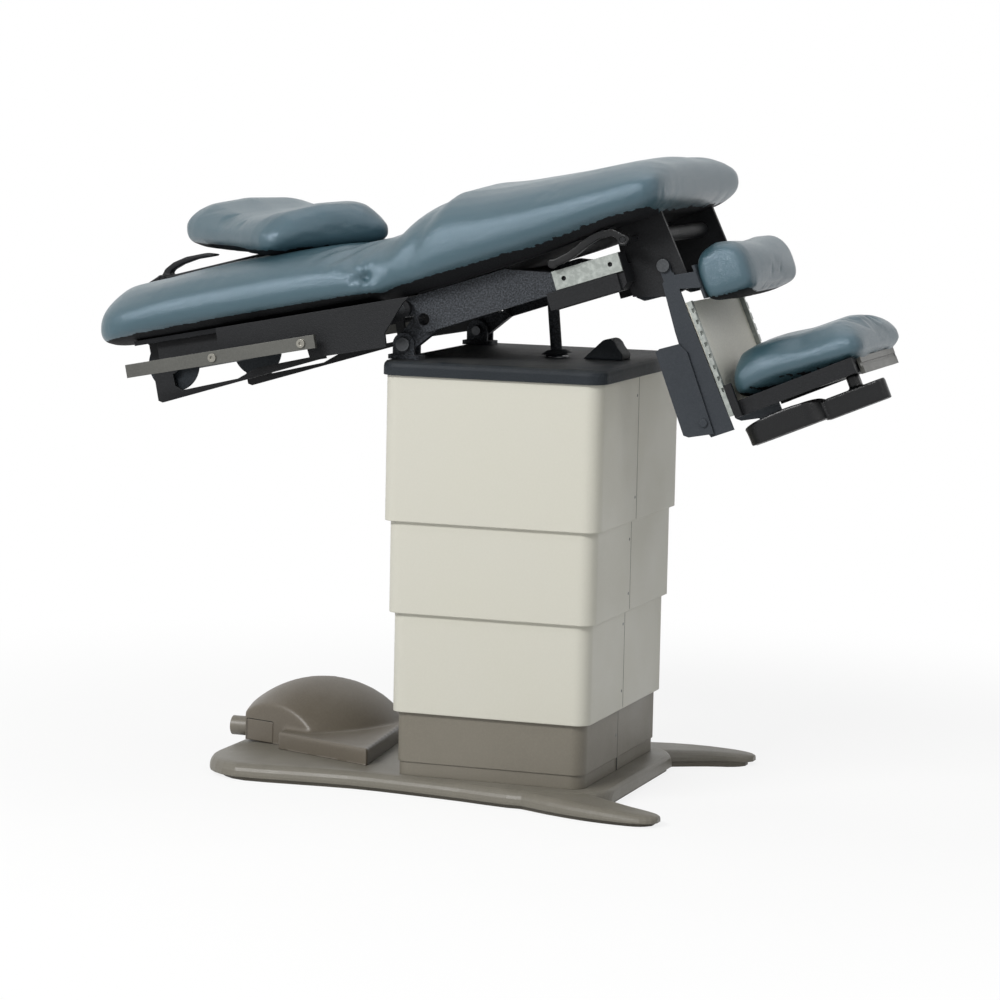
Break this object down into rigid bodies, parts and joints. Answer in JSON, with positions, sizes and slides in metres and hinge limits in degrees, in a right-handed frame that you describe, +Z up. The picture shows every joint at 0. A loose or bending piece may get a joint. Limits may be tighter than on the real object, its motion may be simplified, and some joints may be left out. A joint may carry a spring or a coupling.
{
  "type": "power procedure table",
  "caption": "Power procedure table in its knee support position: lift column on a forked base, tilting seat, folding back with head pillow, hanging foot section with knee pad and stirrups",
  "frame": {"origin": "on the floor under the centre of the lift column", "axes": "X runs along the table towards the foot end, Y across it away from the near side of the picture, Z up"},
  "size_m": [1.5433, 0.715, 1.19],
  "materials": {
    "floor_plate_black": "satin black painted steel plate",
    "base_taupe": "moulded taupe plastic with a fine grain",
    "pump_taupe": "moulded darker taupe plastic with a soft sheen",
    "inlet_grey": "light grey moulded socket",
    "motor_grey": "dark grey painted castings",
    "cover_cream": "cream powder-coated steel sheet",
    "cover_base": "taupe powder-coated steel sheet",
    "mast_steel": "grey painted steel tube",
    "bright_steel": "ground steel",
    "cap_black": "grained black plastic",
    "frame_grey": "textured dark grey powder coat",
    "mechanism_black": "satin black painted steel",
    "zinc": "dull zinc-plated steel",
    "grip_black": "black rubberised plastic",
    "vinyl_blue": "slate blue upholstery vinyl",
    "board_black": "black board",
    "panel_cream": "cream painted sheet",
    "foot_grey": "dark grey painted sheet"
  },
  "bodies": {
    "base": {"base_plate": "floor_plate_black", "base_shell": "base_taupe", "pump_cover": "pump_taupe", "pump_door": "pump_taupe", "power_inlet": "inlet_grey", "pump_unit": "motor_grey", "base_cover": "cover_base", "base_cover_rear": "cover_base", "mast_base": "mast_steel", "lift_cylinder": "mast_steel"},
    "lower_stage": {"lower_cover": "cover_cream", "lower_cover_rear": "cover_cream"},
    "middle_stage": {"middle_cover": "cover_cream", "middle_cover_rear": "cover_cream"},
    "mast_stage": {"mast_middle": "mast_steel", "lift_sleeve": "bright_steel"},
    "carriage": {"upper_cover": "cover_cream", "upper_cover_rear": "cover_cream", "mast_top": "mast_steel", "lift_plunger": "bright_steel", "carriage_plate": "mast_steel", "top_cap": "cap_black", "tilt_brackets": "frame_grey", "tilt_pins": "bright_steel", "tilt_cylinder": "mast_steel", "rod_boot": "cap_black", "cap_hood": "cap_black"},
    "tilt_drive": {"tilt_rod": "frame_grey"},
    "tilt_frame": {"seat_beams": "frame_grey", "slide_plates": "zinc", "seat_rails": "mechanism_black", "cross_tubes": "mechanism_black", "lock_housings": "cap_black", "foot_brackets": "mechanism_black", "foot_pins": "bright_steel", "seat_board": "board_black", "seat_cushion": "vinyl_blue", "hinge_fold": "vinyl_blue"},
    "release_levers": {"hand_levers": "grip_black"},
    "back": {"back_frame": "mechanism_black", "back_panels": "mechanism_black", "back_board": "board_black", "back_cushion": "vinyl_blue", "accessory_rails": "zinc", "rail_bolts": "bright_steel", "roll_hangers": "mechanism_black"},
    "paper_roll": {"roll_holder": "cap_black"},
    "headrest": {"headrest_arm": "mechanism_black"},
    "pillow": {"pillow_plate": "board_black", "head_pillow": "vinyl_blue"},
    "foot_section": {"foot_side_plates": "foot_grey", "foot_guides": "foot_grey", "foot_panel": "panel_cream", "edge_channels": "zinc", "upper_pad": "vinyl_blue"},
    "knee_support": {"knee_frame": "mechanism_black", "knee_end_rail": "zinc", "knee_pad": "vinyl_blue"},
    "near_stirrup": {"stirrup_near": "grip_black"},
    "far_stirrup": {"stirrup_far": "grip_black"}
  },
  "joints": [
    {"name": "lift", "type": "slide", "parent": "base", "child": "carriage", "axis": [0, 0, 1], "range_m": [-0.43, 0.027]},
    {"name": "lower_stage_slide", "type": "slide", "parent": "base", "child": "lower_stage", "axis": [0, 0, 1], "range_m": [-0.1075, 0.00675]},
    {"name": "middle_stage_slide", "type": "slide", "parent": "base", "child": "middle_stage", "axis": [0, 0, 1], "range_m": [-0.2752, 0.01728]},
    {"name": "mast_stage_slide", "type": "slide", "parent": "base", "child": "mast_stage", "axis": [0, 0, 1], "range_m": [-0.215, 0.0135]},
    {"name": "tilt", "type": "hinge", "parent": "carriage", "child": "tilt_frame", "pos_m": [-0.186, 0, 0.843], "axis": [0, -1, 0], "range_deg": [-18, 7]},
    {"name": "tilt_rod_slide", "type": "slide", "parent": "carriage", "child": "tilt_drive", "axis": [-0.0941, 0, 0.9956], "range_m": [-0.0698, 0.0272]},
    {"name": "back_tilt", "type": "hinge", "parent": "tilt_frame", "child": "back", "pos_m": [-0.18043, 0, 0.91], "axis": [0, 1, 0], "range_deg": [0, 54], "deforming": ["hinge_fold"]},
    {"name": "paper_roll_spin", "type": "hinge", "parent": "back", "child": "paper_roll", "pos_m": [-0.65887, 0, 0.78236], "axis": [0, 1, 0], "continuous": true},
    {"name": "headrest_swing", "type": "hinge", "parent": "back", "child": "headrest", "pos_m": [-0.7673, 0, 0.93141], "axis": [0, -1, 0], "range_deg": [0, 140]},
    {"name": "pillow_tilt", "type": "hinge", "parent": "headrest", "child": "pillow", "pos_m": [-0.51374, 0, 1.00006], "axis": [0, -1, 0], "range_deg": [-140, 0]},
    {"name": "foot_swing", "type": "hinge", "parent": "tilt_frame", "child": "foot_section", "pos_m": [0.2997, 0, 1.00502], "axis": [0, -1, 0], "range_deg": [0, 40]},
    {"name": "knee_height", "type": "slide", "parent": "foot_section", "child": "knee_support", "axis": [-0.3907, 0, 0.9205], "range_m": [0, 0.022]},
    {"name": "near_stirrup_swing", "type": "hinge", "parent": "knee_support", "child": "near_stirrup", "pos_m": [0.64054, -0.11, 0.81629], "axis": [-0.3907, 0, 0.9205], "range_deg": [0, 90]},
    {"name": "far_stirrup_swing", "type": "hinge", "parent": "knee_support", "child": "far_stirrup", "pos_m": [0.60188, 0.06, 0.79988], "axis": [0.3907, 0, -0.9205], "range_deg": [0, 90]},
    {"name": "lever_pull", "type": "hinge", "parent": "tilt_frame", "child": "release_levers", "pos_m": [0.24428, 0, 1.05262], "axis": [0, -1, 0], "range_deg": [0, 10], "stiffness_Nm_per_rad": 12}
  ],
  "couplings": [
    {"joint": "lower_stage_slide", "follows": "lift", "ratio": 0.25},
    {"joint": "middle_stage_slide", "follows": "lift", "ratio": 0.64},
    {"joint": "mast_stage_slide", "follows": "lift", "ratio": 0.5},
    {"joint": "tilt_rod_slide", "follows": "tilt", "m_per_rad": 0.222},
    {"joint": "pillow_tilt", "follows": "headrest_swing", "ratio": -1}
  ]
}
